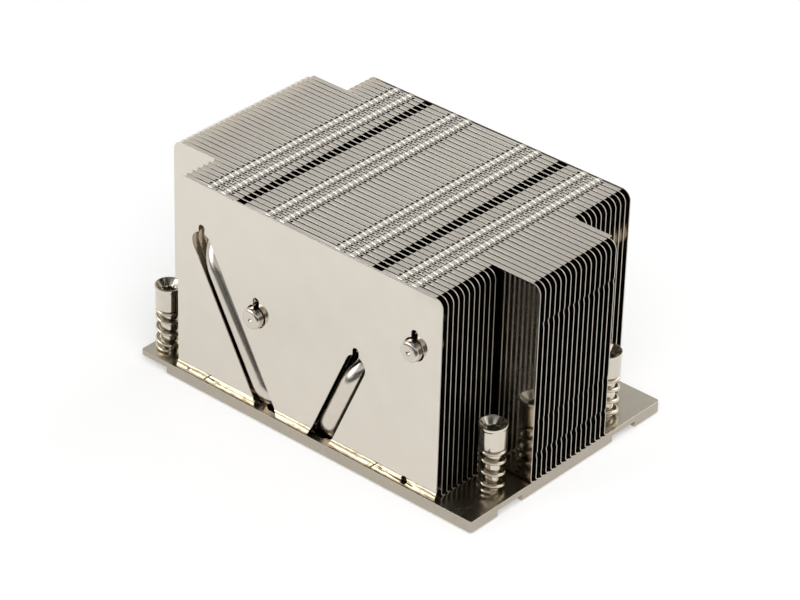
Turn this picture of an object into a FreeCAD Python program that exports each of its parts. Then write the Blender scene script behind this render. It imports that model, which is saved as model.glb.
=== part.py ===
import FreeCAD, Part
import math
import os

from FreeCAD import Base

# Passive server processor heatsink: 38 folded fins on a plated base, four heat
# pipes and four spring-loaded captive screws. Millimetres, +Z up.
# Origin: middle of the contact face that rests on the processor.
# +X runs along the fins, +Y across the stack, front face towards -Y.

# Base plate
PLATE_LENGTH = 118.0
PLATE_WIDTH = 77.5
PLATE_THICKNESS = 3.45
PLATE_CORNER = 0.8
PAD_LENGTH = 76.0
PAD_WIDTH = 58.0
PAD_HEIGHT = 0.55
RELIEF_DEPTH = 1.75
RELIEF_WIDTH = 9.6
RELIEF_CORNER = 2.5
RELIEF_STEPS = 4

# Fin stack
FIN_COUNT = 38
FIN_SHEET = 0.4
FIN_HEIGHT = 60.0
STACK_MARGIN = 1.25
LONG_FIN_INSET = 0.0
SHORT_FIN_INSET = 13.0
SHORT_RIGHT = 11
SHORT_LEFT = 6
FIN_CORNER = 2.7
CORNER_STEPS = 3
FOOT_BEND = 1.2
FOLD_GAP = 0.12
VENT_SPACING = 47.0
VENT_LENGTH = 3.0

# Heat pipes: an outer and an inner one rise at the front, the same two turned
# half round rise at the back. Their top runs keep a distance from the short fins' ends.
PIPE_DIAMETER = 6.0
PIPE_SIDES = 12
PIPE_HOLE = 6.8
PIPE_TIP = 2.3
PIPE_TIP_BEVEL = 0.7
PIPE_BEND = 9.0
PIPE_BEND_STEPS = 4
RISER_INSET = 3.7
OUTER_TOP_INSET = 8.9
OUTER_TOP_HEIGHT = 42.0
INNER_TOP_INSET = 28.5
INNER_TOP_HEIGHT = 27.9
OUTER_FOOT_X = -12.5
INNER_FOOT_X = 4.7
FLAT_WIDTH = 7.4
FLAT_HEIGHT = 2.9
FLAT_EDGE = 0.9
FLAT_REACH = 27.0
GROOVE_SIDE_GAP = 0.1
GROOVE_FLOOR_GAP = 0.1
GROOVE_TOP_GAP = 0.05
GROOVE_END_STEPS = 5
SOLDER_LOBE = 2.2
SOLDER_LOBE_RISE = 4.6
SOLDER_LOBE_STEPS = 4
OPEN_HOLE_SIDES = 16
HIDDEN_HOLE_SIDES = 4

# Captive screws and their retaining clips
SCREW_RIGHT_INSET = 6.7
SCREW_RIGHT_Y = 23.4
SCREW_LEFT_INSET = 4.8
SCREW_LEFT_MARGIN = 6.05
HEAD_TOP = 20.05
HEAD_HEIGHT = 6.85
HEAD_DIAMETER = 6.9
ROUND_SIDES = 16
RIM_DIAMETER = 7.9
RIM_HEIGHT = 0.85
RECESS_DIAMETER = 6.6
RECESS_DEPTH = 2.6
SOCKET_WIDTH = 3.6
SOCKET_DEPTH = 2.2
SOCKET_SIDES = 6
SHANK_DIAMETER = 4.5
SHANK_CLEARANCE = 0.06
THREAD_DIAMETER = 4.0
GROOVE_DIAMETER = 3.0
GROOVE_HEIGHT = 0.6
CLIP_GAP = 0.05
CLIP_THICKNESS = 0.5
CLIP_DIAMETER = 6.6
CLIP_MOUTH = 2.4
CLIP_SEAT_GAP = 0.1
TIP_CLEARANCE = 0.4

# Springs
SPRING_DIAMETER = 6.8
SPRING_WIRE = 1.0
SPRING_TURNS = 3.3
SPRING_END_TURNS = 1.0
SPRING_END_PITCH = 1.04
SPRING_STEPS = 10
SPRING_SEAT_GAP = 0.05

# Values that follow from the sizes above
PLATE_BOTTOM = PAD_HEIGHT
PLATE_TOP = PLATE_BOTTOM + PLATE_THICKNESS
FIN_TOP = PLATE_TOP + FIN_HEIGHT
STACK_DEPTH = PLATE_WIDTH - 2 * STACK_MARGIN
FIN_PITCH = (STACK_DEPTH - FIN_SHEET) / (FIN_COUNT - 1)
STACK_FRONT = -STACK_DEPTH / 2
RELIEF_TOP = PLATE_BOTTOM + RELIEF_DEPTH
SCREW_RIGHT_X = PLATE_LENGTH / 2 - SCREW_RIGHT_INSET
SCREW_LEFT_X = SCREW_LEFT_INSET - PLATE_LENGTH / 2
SCREW_LEFT_Y = PLATE_WIDTH / 2 - SCREW_LEFT_MARGIN
OUTER_TOP_X = SHORT_FIN_INSET + OUTER_TOP_INSET - PLATE_LENGTH / 2
INNER_TOP_X = PLATE_LENGTH / 2 - SHORT_FIN_INSET - INNER_TOP_INSET
RISER_Y = STACK_FRONT + RISER_INSET
BEND_END_Y = RISER_Y + PIPE_BEND
FLAT_TOP = PLATE_TOP - GROOVE_TOP_GAP
FLAT_BOTTOM = FLAT_TOP - FLAT_HEIGHT
FLAT_MIDDLE = (FLAT_TOP + FLAT_BOTTOM) / 2
GROOVE_FLOOR = FLAT_BOTTOM - GROOVE_FLOOR_GAP
GROOVE_WIDTH = FLAT_WIDTH + 2 * GROOVE_SIDE_GAP
CUT_OVERRUN = 1.0

UP = Base.Vector(0, 0, 1)
RIGHT = Base.Vector(1, 0, 0)
BACK = Base.Vector(0, 1, 0)


def box(low, high):
    """A box between two corners."""
    corner = Base.Vector(*low)
    size = Base.Vector(*high) - corner
    return Part.makeBox(size.x, size.y, size.z, corner)


def flat_face(points):
    """A flat face inside a closed run of points."""
    corners = [Base.Vector(*p) for p in points]
    return Part.Face(Part.makePolygon(corners + corners[:1]))


def prism(points, direction):
    """A closed outline pushed along a direction."""
    return flat_face(points).extrude(direction)


def fused(shapes):
    """Several shapes joined into one clean solid."""
    first = shapes[0]
    for other in shapes[1:]:
        first = first.fuse(other)
    return first.removeSplitter()


def turned(shape, half_turn):
    """The shape as it is, or turned half round about the vertical axis."""
    copy = shape.copy()
    if half_turn:
        copy.rotate(Base.Vector(0, 0, 0), UP, 180)
    return copy


def arc_points(centre, radius, first, last, steps):
    """Points of a plane on an arc between two angles in degrees, in a whole number of steps."""
    points = []
    for i in range(steps + 1):
        angle = math.radians(first + (last - first) * i / steps)
        points.append((centre[0] + radius * math.cos(angle), centre[1] + radius * math.sin(angle)))
    return points


def ring_solid(rings, twisted):
    """A solid of flat faces between like rings of points, closed at both ends."""
    faces = [flat_face(rings[0]), flat_face(rings[-1])]
    for low, high in zip(rings, rings[1:]):
        for i in range(len(low)):
            if twisted:
                faces.append(flat_face((low[i - 1], low[i], high[i])))
                faces.append(flat_face((low[i - 1], high[i], high[i - 1])))
            else:
                faces.append(flat_face((low[i - 1], low[i], high[i], high[i - 1])))
    return Part.Solid(Part.Shell(faces))


def level_ring(radius, z, sides):
    """Corner points of a level many-sided ring round the Z axis."""
    return [(x, y, z) for x, y in arc_points((0, 0), radius, 0, 360, sides)[:-1]]


def lathe(outline, sides):
    """A many-sided solid round the Z axis from radii and heights."""
    return ring_solid([level_ring(radius, z, sides) for radius, z in outline], False)


# Base plate

def relief_pocket(inner_x, side, low_y, high_y):
    """Underside step open to one end of the plate, with rounded inner corners."""
    middle = inner_x + side * RELIEF_CORNER
    facing = 90 + side * 90
    outline = arc_points((middle, high_y - RELIEF_CORNER), RELIEF_CORNER, 90, facing, RELIEF_STEPS)
    last = 90 + side * 180
    outline += arc_points((middle, low_y + RELIEF_CORNER), RELIEF_CORNER, facing, last, RELIEF_STEPS)
    outline += [(side * PLATE_LENGTH, low_y), (side * PLATE_LENGTH, high_y)]
    return prism([(x, y, -CUT_OVERRUN) for x, y in outline], UP * (RELIEF_TOP + CUT_OVERRUN))


def relief_pockets():
    """Steps round the screws: slots at the right end, whole corners at the left end."""
    half = RELIEF_WIDTH / 2
    pockets = []
    for side in (-1, 1):
        y = side * SCREW_RIGHT_Y
        pockets.append(relief_pocket(SCREW_RIGHT_X - half, 1, y - half, y + half))
        y = sorted((side * (SCREW_LEFT_Y - half), side * PLATE_LENGTH))
        pockets.append(relief_pocket(SCREW_LEFT_X + half, -1, *y))
    return pockets


def pipe_groove(x, gap):
    """Round-ended trough for one flattened pipe foot, drawn in by a gap all round."""
    radius = GROOVE_WIDTH / 2
    start = RISER_Y - PIPE_DIAMETER / 2 + radius
    end = FLAT_REACH - radius + GROOVE_SIDE_GAP
    outline = arc_points((x, start), radius - gap, 180, 360, GROOVE_END_STEPS)
    outline += arc_points((x, end), radius - gap, 0, 180, GROOVE_END_STEPS)
    floor = GROOVE_FLOOR + gap
    depth = PLATE_TOP - floor + CUT_OVERRUN
    return prism([(a, b, floor) for a, b in outline], UP * depth)


def make_base_plate():
    """Plate with contact pad, screw holes, underside steps and pipe grooves."""
    half_x = PLATE_LENGTH / 2
    half_y = PLATE_WIDTH / 2
    plate = box((-half_x, -half_y, PLATE_BOTTOM), (half_x, half_y, PLATE_TOP))
    upright = [e for e in plate.Edges if abs(e.tangentAt(e.FirstParameter).z) > 0.9]
    plate = plate.makeFillet(PLATE_CORNER, upright)
    pad = box((-PAD_LENGTH / 2, -PAD_WIDTH / 2, 0), (PAD_LENGTH / 2, PAD_WIDTH / 2, PLATE_BOTTOM))
    plate = fused([plate, pad])
    cuts = relief_pockets()
    for x in (OUTER_FOOT_X, INNER_FOOT_X):
        groove = pipe_groove(x, 0)
        cuts += [turned(groove, False), turned(groove, True)]
    reach = (SHANK_DIAMETER / 2 + SHANK_CLEARANCE) / math.cos(math.pi / ROUND_SIDES)
    for place in screw_places():
        hole = lathe([(reach, -CUT_OVERRUN), (reach, PLATE_TOP + CUT_OVERRUN)], ROUND_SIDES)
        hole.translate(Base.Vector(*place, 0))
        cuts.append(hole)
    for cut in cuts:
        plate = plate.cut(cut)
    return plate


# Fins

def fin_ends(index):
    """Left and right end of a fin: the outer fins of the stack stop short of the screws."""
    behind = FIN_COUNT - 1 - index
    left = SHORT_FIN_INSET if min(index, behind) < SHORT_LEFT else LONG_FIN_INSET
    right = SHORT_FIN_INSET if min(index, behind) < SHORT_RIGHT else LONG_FIN_INSET
    return left - PLATE_LENGTH / 2, PLATE_LENGTH / 2 - right


def fold_outline(y, last):
    """Cross-section of one folded fin: web, top flange and bent foot."""
    if last:
        return [(y, PLATE_TOP), (y + FIN_SHEET, PLATE_TOP), (y + FIN_SHEET, FIN_TOP), (y, FIN_TOP)]
    end = y + FIN_PITCH - FOLD_GAP
    slant = FOOT_BEND * (1 - math.sqrt(0.5))
    inner_slant = FIN_SHEET + (FOOT_BEND - FIN_SHEET) * (1 - math.sqrt(0.5))
    return [
        (y, FIN_TOP),
        (y, PLATE_TOP + FOOT_BEND),
        (y + slant, PLATE_TOP + slant),
        (y + FOOT_BEND, PLATE_TOP),
        (end, PLATE_TOP),
        (end, PLATE_TOP + FIN_SHEET),
        (y + FOOT_BEND, PLATE_TOP + FIN_SHEET),
        (y + inner_slant, PLATE_TOP + inner_slant),
        (y + FIN_SHEET, PLATE_TOP + FOOT_BEND),
        (y + FIN_SHEET, FIN_TOP - FIN_SHEET),
        (end, FIN_TOP - FIN_SHEET),
        (end, FIN_TOP),
    ]


def corner_cutters(left, right, y):
    """Rounds the web's top corners and stops the top flange where they start."""
    cutters = []
    low = FIN_TOP - FIN_CORNER
    deep = BACK * (FIN_PITCH + CUT_OVERRUN)
    for end, side, last in ((left, -1, 180), (right, 1, 0)):
        middle = end - side * FIN_CORNER
        outline = arc_points((middle, low), FIN_CORNER, 90, last, CORNER_STEPS)
        outline.append((end + side * CUT_OVERRUN, low))
        outline.append((end + side * CUT_OVERRUN, FIN_TOP + CUT_OVERRUN))
        outline.append((middle, FIN_TOP + CUT_OVERRUN))
        cutters.append(prism([(x, y - CUT_OVERRUN, z) for x, z in outline], deep))
        x = sorted((middle, end + side * CUT_OVERRUN))
        cutters.append(box((x[0], y + FIN_SHEET, low), (x[1], y + FIN_PITCH, FIN_TOP + CUT_OVERRUN)))
    return cutters


def vent_cutters(y):
    """Two short slots through the top flange."""
    cutters = []
    for side in (-1, 1):
        x = side * VENT_SPACING / 2
        low = (x - VENT_LENGTH / 2, y + FIN_SHEET, FIN_TOP - FOOT_BEND)
        high = (x + VENT_LENGTH / 2, y + FIN_PITCH, FIN_TOP + CUT_OVERRUN)
        cutters.append(box(low, high))
    return cutters


def across_stack(outline):
    """A cutter through the whole stack from an outline of X and Z."""
    return prism([(x, -STACK_DEPTH, z) for x, z in outline], BACK * (2 * STACK_DEPTH))


def pipe_hole(x, z, sides):
    """Pipe hole of some flat sides; the ones open to view have a solder lobe on top."""
    reach = PIPE_HOLE / 2 / math.cos(math.pi / sides)
    turn = 180 / sides
    hole = across_stack(arc_points((x, z), reach, turn, 360 + turn, sides)[:-1])
    if sides == HIDDEN_HOLE_SIDES:
        return hole
    half = SOLDER_LOBE / 2
    lobe = arc_points((x, z + SOLDER_LOBE_RISE), half, 0, 180, SOLDER_LOBE_STEPS)
    return fused([hole, across_stack([(x + half, z)] + lobe + [(x - half, z)])])


def riser_slot(top_x, top_z, foot_x, sides):
    """Slanted slot for a pipe that rises in this fin, from its top hole to the fin's foot."""
    rise = Base.Vector(top_x - foot_x, 0, top_z - FLAT_MIDDLE)
    across = Base.Vector(rise.z, 0, -rise.x).normalize() * (PIPE_HOLE / 2)
    start = Base.Vector(foot_x, 0, FLAT_MIDDLE)
    corners = [start - across, start + across, start + across + rise, start - across + rise]
    band = across_stack([(c.x, c.z) for c in corners])
    return fused([band, pipe_hole(top_x, top_z, sides)])


def pipe_routes():
    """Top and foot position of the two pipes that rise at the front."""
    return (
        (OUTER_TOP_X, PLATE_TOP + OUTER_TOP_HEIGHT, OUTER_FOOT_X),
        (INNER_TOP_X, PLATE_TOP + INNER_TOP_HEIGHT, INNER_FOOT_X),
    )


def pipe_cutters(sides):
    """Slots for the pipes that rise in a fin and holes for the ones that pass through it."""
    slots = [riser_slot(x, z, foot, sides) for x, z, foot in pipe_routes()]
    holes = [pipe_hole(x, z, sides) for x, z, foot in pipe_routes()]
    return slots, holes


def make_fin(index, slots, holes):
    """One folded fin with its corners, vents and pipe openings."""
    y = STACK_FRONT + index * FIN_PITCH
    left, right = fin_ends(index)
    outline = [(left, a, b) for a, b in fold_outline(y, index == FIN_COUNT - 1)]
    fin = prism(outline, RIGHT * (right - left))
    cutters = corner_cutters(left, right, y) + vent_cutters(y)
    front_riser = y < BEND_END_Y + FIN_SHEET
    back_riser = -y - FIN_PITCH < BEND_END_Y + FIN_SHEET
    for slot, hole in zip(slots, holes):
        cutters.append(turned(slot if front_riser else hole, False))
        cutters.append(turned(slot if back_riser else hole, True))
    for cutter in cutters:
        fin = fin.cut(cutter)
    return fin.removeSplitter()


# Heat pipes

def bend_points(corner, before, after):
    """Points round a right-angled bend of the pipe's middle line."""
    start = corner - before * PIPE_BEND
    points = []
    for i in range(PIPE_BEND_STEPS + 1):
        angle = math.pi / 2 * i / PIPE_BEND_STEPS
        along = before * (PIPE_BEND * math.sin(angle))
        aside = after * (PIPE_BEND * (1 - math.cos(angle)))
        points.append(start + along + aside)
    return points


def pipe_section(x, y, z, radius):
    """Many-sided outline of a pipe that runs along Y."""
    turn = 180 / PIPE_SIDES
    around = arc_points((x, z), radius, turn, 360 + turn, PIPE_SIDES)[:-1]
    return [(a, y, b) for a, b in around]


def make_heat_pipe(top_x, top_z, foot_x):
    """Level top run, two bends, slanted riser, and a foot pressed flat in the base."""
    radius = PIPE_DIAMETER / 2
    tip_y = -STACK_FRONT + PIPE_TIP
    shoulder = Base.Vector(top_x, tip_y - PIPE_TIP_BEVEL, top_z)
    upper = Base.Vector(top_x, RISER_Y, top_z)
    lower = Base.Vector(foot_x, RISER_Y, FLAT_MIDDLE)
    down = (lower - upper).normalize()
    path = Part.makePolygon([shoulder] + bend_points(upper, -BACK, down) + bend_points(lower, down, BACK))
    section = pipe_section(top_x, shoulder.y, top_z, radius)
    tube = path.makePipeShell([flat_face(section).OuterWire], True, False, 1)
    nose = ring_solid([section, pipe_section(top_x, tip_y, top_z, radius - PIPE_TIP_BEVEL)], False)
    around_low = (-PLATE_LENGTH, -PLATE_WIDTH, -PIPE_DIAMETER)
    around_high = (PLATE_LENGTH, PLATE_WIDTH, PLATE_TOP + GROOVE_TOP_GAP)
    around = box(around_low, around_high).cut(pipe_groove(foot_x, GROOVE_SIDE_GAP))
    lower_part = fused([tube, flat_foot(foot_x)]).cut(around)
    return fused([lower_part, nose])


def flat_foot(x):
    """The pressed stretch of a pipe, a bar with sloping edges lying in its groove."""
    half = FLAT_WIDTH / 2
    start = RISER_Y + FLAT_HEIGHT / 2
    outline = []
    for side, order in ((1, 1), (-1, -1)):
        edge = [
            (x + side * (half - FLAT_EDGE), FLAT_BOTTOM),
            (x + side * half, FLAT_BOTTOM + FLAT_EDGE),
            (x + side * half, FLAT_TOP - FLAT_EDGE),
            (x + side * (half - FLAT_EDGE), FLAT_TOP),
        ]
        outline += edge[::order]
    return prism([(a, start, b) for a, b in outline], BACK * (FLAT_REACH - start))


# Captive screws, springs and retaining clips

def screw_places():
    """The four screw axes: front left, front right, back right, back left."""
    return (
        (SCREW_LEFT_X, -SCREW_LEFT_Y),
        (SCREW_RIGHT_X, -SCREW_RIGHT_Y),
        (SCREW_RIGHT_X, SCREW_RIGHT_Y),
        (SCREW_LEFT_X, SCREW_LEFT_Y),
    )


def clip_levels():
    """Bottom and top of the retaining clip, just under the thin part of the plate."""
    top = RELIEF_TOP - CLIP_SEAT_GAP
    return top - CLIP_THICKNESS, top


def make_screw():
    """Shoulder screw with a deep funnel head, on the Z axis."""
    top = PLATE_TOP + HEAD_TOP
    bottom = top - HEAD_HEIGHT
    clip_bottom, clip_top = clip_levels()
    slack = (GROOVE_HEIGHT - CLIP_THICKNESS) / 2
    low = clip_bottom - slack
    thread = Part.makeCylinder(THREAD_DIAMETER / 2, low - TIP_CLEARANCE, Base.Vector(0, 0, TIP_CLEARANCE))
    body = lathe([
        (GROOVE_DIAMETER / 2, low),
        (GROOVE_DIAMETER / 2, clip_top + slack),
        (SHANK_DIAMETER / 2, clip_top + slack),
        (SHANK_DIAMETER / 2, bottom),
        (HEAD_DIAMETER / 2, bottom),
        (HEAD_DIAMETER / 2, top - 2 * RIM_HEIGHT),
        (RIM_DIAMETER / 2, top - RIM_HEIGHT),
        (RIM_DIAMETER / 2, top),
    ], ROUND_SIDES)
    funnel = lathe([(SOCKET_WIDTH / 2, top - RECESS_DEPTH), (RECESS_DIAMETER / 2, top)], ROUND_SIDES)
    socket_low = top - RECESS_DEPTH - SOCKET_DEPTH
    socket = prism(level_ring(SOCKET_WIDTH / 2, socket_low, SOCKET_SIDES), UP * SOCKET_DEPTH)
    return fused([thread, body.cut(funnel).cut(socket)])


def make_clip():
    """Open retaining clip that sits in the screw's groove, on the Z axis."""
    bottom, top = clip_levels()
    ring = lathe([(CLIP_DIAMETER / 2, bottom), (CLIP_DIAMETER / 2, top)], ROUND_SIDES)
    reach = (GROOVE_DIAMETER / 2 + CLIP_GAP) / math.cos(math.pi / ROUND_SIDES)
    bore = lathe([(reach, 0), (reach, top + CUT_OVERRUN)], ROUND_SIDES)
    half = CLIP_MOUTH / 2
    mouth = box((0, -half, 0), (CLIP_DIAMETER, half, top + CUT_OVERRUN))
    return ring.cut(bore).cut(mouth)


def make_spring():
    """Left-hand coil spring with closed ends, on the Z axis."""
    low = PLATE_TOP + SPRING_SEAT_GAP + SPRING_WIRE / 2
    high = PLATE_TOP + HEAD_TOP - HEAD_HEIGHT - SPRING_SEAT_GAP - SPRING_WIRE / 2
    radius = (SPRING_DIAMETER - SPRING_WIRE) / 2
    half = SPRING_WIRE / 2
    end_rise = SPRING_WIRE * SPRING_END_PITCH * SPRING_END_TURNS
    pitch = (high - low - 2 * end_rise) / SPRING_TURNS
    rings = []
    for i in range(round((SPRING_TURNS + 2 * SPRING_END_TURNS) * SPRING_STEPS) + 1):
        turn = i / SPRING_STEPS
        middle = min(max(turn - SPRING_END_TURNS, 0), SPRING_TURNS)
        z = low + middle * pitch + (turn - middle) * SPRING_WIRE * SPRING_END_PITCH
        out = Base.Vector(math.cos(2 * math.pi * turn), -math.sin(2 * math.pi * turn), 0)
        centre = out * radius + UP * z
        rings.append([centre + out * half, centre - UP * half, centre - out * half, centre + UP * half])
    return ring_solid(rings, True)


def save(shape, name):
    """Writes one node's solid."""
    shape.exportStep("parts/" + name + ".step")


def main():
    os.makedirs("parts", exist_ok=True)
    save(make_base_plate(), "base_plate")
    open_to_view = pipe_cutters(OPEN_HOLE_SIDES)
    hidden = pipe_cutters(HIDDEN_HOLE_SIDES)
    for index in range(FIN_COUNT):
        outermost = index in (0, FIN_COUNT - 1)
        slots, holes = open_to_view if outermost else hidden
        save(make_fin(index, slots, holes), "fin_{:02d}".format(index + 1))
    for name, route in zip(("outer", "inner"), pipe_routes()):
        pipe = make_heat_pipe(*route)
        save(turned(pipe, False), "heat_pipe_front_" + name)
        save(turned(pipe, True), "heat_pipe_back_" + name)
    places = ("front_left", "front_right", "back_right", "back_left")
    for place, (x, y) in zip(places, screw_places()):
        for maker, name in ((make_screw, "screw"), (make_spring, "spring"), (make_clip, "clip")):
            piece = maker()
            piece.translate(Base.Vector(x, y, 0))
            save(piece, name + "_" + place)


main()
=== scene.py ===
import math

import bmesh
import bpy
from mathutils import Matrix, Vector


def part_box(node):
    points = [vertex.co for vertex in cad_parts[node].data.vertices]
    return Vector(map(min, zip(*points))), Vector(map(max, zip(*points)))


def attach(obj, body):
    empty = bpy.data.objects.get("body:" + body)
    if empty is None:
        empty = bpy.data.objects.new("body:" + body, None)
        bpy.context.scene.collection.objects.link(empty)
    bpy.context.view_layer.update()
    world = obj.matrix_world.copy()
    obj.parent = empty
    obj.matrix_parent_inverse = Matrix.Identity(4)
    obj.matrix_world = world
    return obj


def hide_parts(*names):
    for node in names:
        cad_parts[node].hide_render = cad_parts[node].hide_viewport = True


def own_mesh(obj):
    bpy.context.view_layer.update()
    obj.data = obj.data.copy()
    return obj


bl_info = {
    "name": "Passive server heatsink",
    "version": (1, 0, 0),
    "blender": (4, 5, 0),
    "location": "3D View > Sidebar > Heatsink",
    "description": "Builds a folded fin heatsink with heat pipes and captive screws",
    "category": "Add Mesh",
}

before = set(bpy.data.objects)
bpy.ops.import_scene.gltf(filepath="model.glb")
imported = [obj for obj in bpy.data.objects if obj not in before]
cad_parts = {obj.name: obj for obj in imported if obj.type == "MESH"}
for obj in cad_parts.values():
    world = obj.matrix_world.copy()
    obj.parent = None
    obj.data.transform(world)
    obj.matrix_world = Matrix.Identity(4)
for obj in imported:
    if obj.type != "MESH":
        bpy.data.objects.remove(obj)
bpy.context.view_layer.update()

# Shapes are drawn in millimetres and turned to metres when a piece is finished.
MM = 0.001


def cad_box(node):
    """Lowest and highest corner of a CAD node, in millimetres."""
    low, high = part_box(node)
    return low / MM, high / MM


FIN_COUNT = 38
PLATE_LOW, PLATE_HIGH = cad_box("base_plate")
FIN_LOW, FIN_HIGH = cad_box("fin_01")
FIN_PITCH = cad_box("fin_02")[0].y - FIN_LOW.y
STACK_HIGH_Y = cad_box("fin_38")[1].y
PLACES = ("front_left", "front_right", "back_right", "back_left")

# Heat pipes that rise at the front: top X, top Z and foot X. The back ones are the same turned half round.
PIPES = {"outer": (-37.1, 46.0, -12.5), "inner": (17.5, 31.9, 4.7)}
PIPE_RADIUS = 3.0
PIPE_BEND = 9.0
PIPE_HOLE = 3.4
RISER_INSET = 2.45
FOOT_MIDDLE = 2.5
FLAT_WIDTH = 7.4
FLAT_HEIGHT = 2.9
FLAT_REACH = 27.0

# The solder lobe on top of a pipe hole: radius, height of its middle over the pipe's, and where it begins.
LOBE_RADIUS = 1.1
LOBE_RISE = 4.6
LOBE_ANGLE = math.degrees(math.acos(LOBE_RADIUS / PIPE_HOLE))

# Coining thins the flange, so its small holes look black. The web's inner face runs in to it near the top.
CORNER_RADIUS = 2.7
FLANGE_SHEET = 0.12
INNER_RADIUS = 0.05
THINNING = 0.3

# X of the left ends of the rows of interlocks, and the left and right ends of the vents between them.
INTERLOCK_ROWS = (-36.0, -15.4, 8.8, 29.7)
VENTS = ((-24.9, -22.0), (22.1, 25.4))
VENT_INSET = 0.15
# Small holes of a row: X, distance from the bend and radius of the middle one, then X and radius of those
# along the bend, whose middles lie a share of their radius from it.
MIDDLE_DOT = (3.65, 0.7, 0.36)
SEAM_DOTS = ((0.0, 0.5), (2.8, 0.43), (4.9, 0.32), (7.9, 0.5))
SEAM_DOT_INSET = 0.75
# Raised tabs of a row: X of their ends, how far they reach over the next fin and the width of their ramps.
TABS = ((0.55, 2.3), (5.45, 7.2))
TAB_REACH = 0.32
TAB_RAMP = 0.2
# A tab's height over the flange by the distance in from the flange's edge, as shares of the whole.
TAB_PROFILE = ((-TAB_REACH, 0.2), (0.8, 1.0), (0.88, 0.0))

# A kink in the end of a long fin: height over its lower end and share of its depth, the share that is left
# by the distance in from the fin's end, and the distances where the sheet is divided for it.
KINK_PROFILE = ((0.0, 0.0), (0.6, 0.6), (1.5, 1.0), (1.75, 1.0), (1.95, 0.0))
KINK_FADE = ((0, 1), (0.4, 0.7), (1.0, 0))
KINK_INSETS = (1.1, 1.0, 0.4)

# The front fin's foot: height over its lower edge and how far it stands out to the front, with a groove.
SEAM_GAP = 0.12
FOOT_PROFILE = (
    (0.0, 0.85), (0.25, 0.82), (0.55, 0.7), (0.8, 0.6), (0.95, 0.5), (1.1, 0.45), (1.25, 0.42), (1.45, 0.34),
    (1.7, 0.2), (1.95, 0.08), (2.2, 0.0))
GROOVE_PROFILE = ((0.55, 0.0), (0.8, 0.3), (1.1, 0.42), (1.25, 0.35), (1.45, 0.0))
GROOVE_DEPTHS = (
    (-36, 0.12), (-32, 0.12), (-31, 1), (-18, 1), (-9, 0.5), (-3, 0.7), (1, 0.1), (20, 0.1), (23, 0.4), (27, 1),
    (38, 1), (43, 0))


def linear(code):
    """Linear colour with alpha from an sRGB hex code."""
    parts = [int(code[i:i + 2], 16) / 255 for i in (0, 2, 4)]
    return [p / 12.92 if p <= 0.04045 else ((p + 0.055) / 1.055) ** 2.4 for p in parts] + [1.0]


class HeatsinkSettings(bpy.types.PropertyGroup):
    """Sizes of the detail and colours of the finishes."""

    sheet: bpy.props.FloatProperty(
        name="Fin sheet", description="Thickness of the fin sheet", default=0.29 * MM, unit="LENGTH")
    top_bend: bpy.props.FloatProperty(
        name="Top bend", description="Outer radius of the bend to the top flange",
        default=0.08 * MM, unit="LENGTH")
    foot_bend: bpy.props.FloatProperty(
        name="Foot bend", description="Outer radius of the bend to the foot", default=1.2 * MM, unit="LENGTH")
    fold_gap: bpy.props.FloatProperty(
        name="Fold gap", description="Gap between a fin's fold and the next fin", default=0.5 * MM,
        unit="LENGTH")
    tab_height: bpy.props.FloatProperty(
        name="Tab height", description="Height of the interlock tabs over the flanges",
        default=0.14 * MM, unit="LENGTH")
    wire: bpy.props.FloatProperty(
        name="Spring wire", description="Diameter of the spring wire", default=1.15 * MM, unit="LENGTH")
    edge_bevel: bpy.props.FloatProperty(
        name="Base bevel", description="Bevel along the edges of the base plate", default=0.25 * MM,
        unit="LENGTH")
    fin_colour: bpy.props.FloatVectorProperty(
        name="Fin colour", description="Nickel plating on the fins", size=4, subtype="COLOR",
        min=0, max=1, default=linear("E2DBCF"))
    plate_colour: bpy.props.FloatVectorProperty(
        name="Base colour", description="Nickel plating on the base plate", size=4, subtype="COLOR",
        min=0, max=1, default=linear("D4CBBB"))
    pipe_colour: bpy.props.FloatVectorProperty(
        name="Pipe colour", description="Nickel plating on the heat pipes", size=4, subtype="COLOR",
        min=0, max=1, default=linear("DDD4C8"))
    screw_colour: bpy.props.FloatVectorProperty(
        name="Screw colour", description="Nickel plating on the turned screws", size=4, subtype="COLOR",
        min=0, max=1, default=linear("DDD6C8"))
    spring_colour: bpy.props.FloatVectorProperty(
        name="Spring colour", description="Nickel plating on the spring wire", size=4, subtype="COLOR",
        min=0, max=1, default=linear("DDD3C0"))
    clip_colour: bpy.props.FloatVectorProperty(
        name="Clip colour", description="Bare spring steel of the clips", size=4, subtype="COLOR",
        min=0, max=1, default=linear("A8A49C"))


def settings():
    """The scene's heatsink settings."""
    return bpy.context.scene.heatsink


def ramp(x, points):
    """Height at x of a line through points sorted by x, level outside them."""
    if x <= points[0][0]:
        return points[0][1]
    for (x0, y0), (x1, y1) in zip(points, points[1:]):
        if x <= x1:
            return y0 + (y1 - y0) * (x - x0) / (x1 - x0)
    return points[-1][1]


def arc(centre, radius, first, last, steps):
    """Points on an arc of a plane between two angles in degrees."""
    angles = [math.radians(first + (last - first) * i / steps) for i in range(steps + 1)]
    return [(centre[0] + radius * math.cos(a), centre[1] + radius * math.sin(a)) for a in angles]


# Materials

def add_node(tree, kind, values=None, links=None, **options):
    """Adds a shader node with its options, the values of its sockets and the links into them."""
    node = tree.nodes.new(kind)
    for name, value in options.items():
        setattr(node, name, value)
    for name, value in (values or {}).items():
        node.inputs[name].default_value = value
    for name, source in (links or {}).items():
        tree.links.new(source, node.inputs[name])
    return node


def map_range(tree, source, start, end, first, last):
    """Maps an output from one span of values to another and keeps it level outside. Returns the output."""
    values = {"From Min": start, "From Max": end, "To Min": first, "To Max": last}
    return add_node(tree, "ShaderNodeMapRange", values, {"Value": source}).outputs[0]


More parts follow.
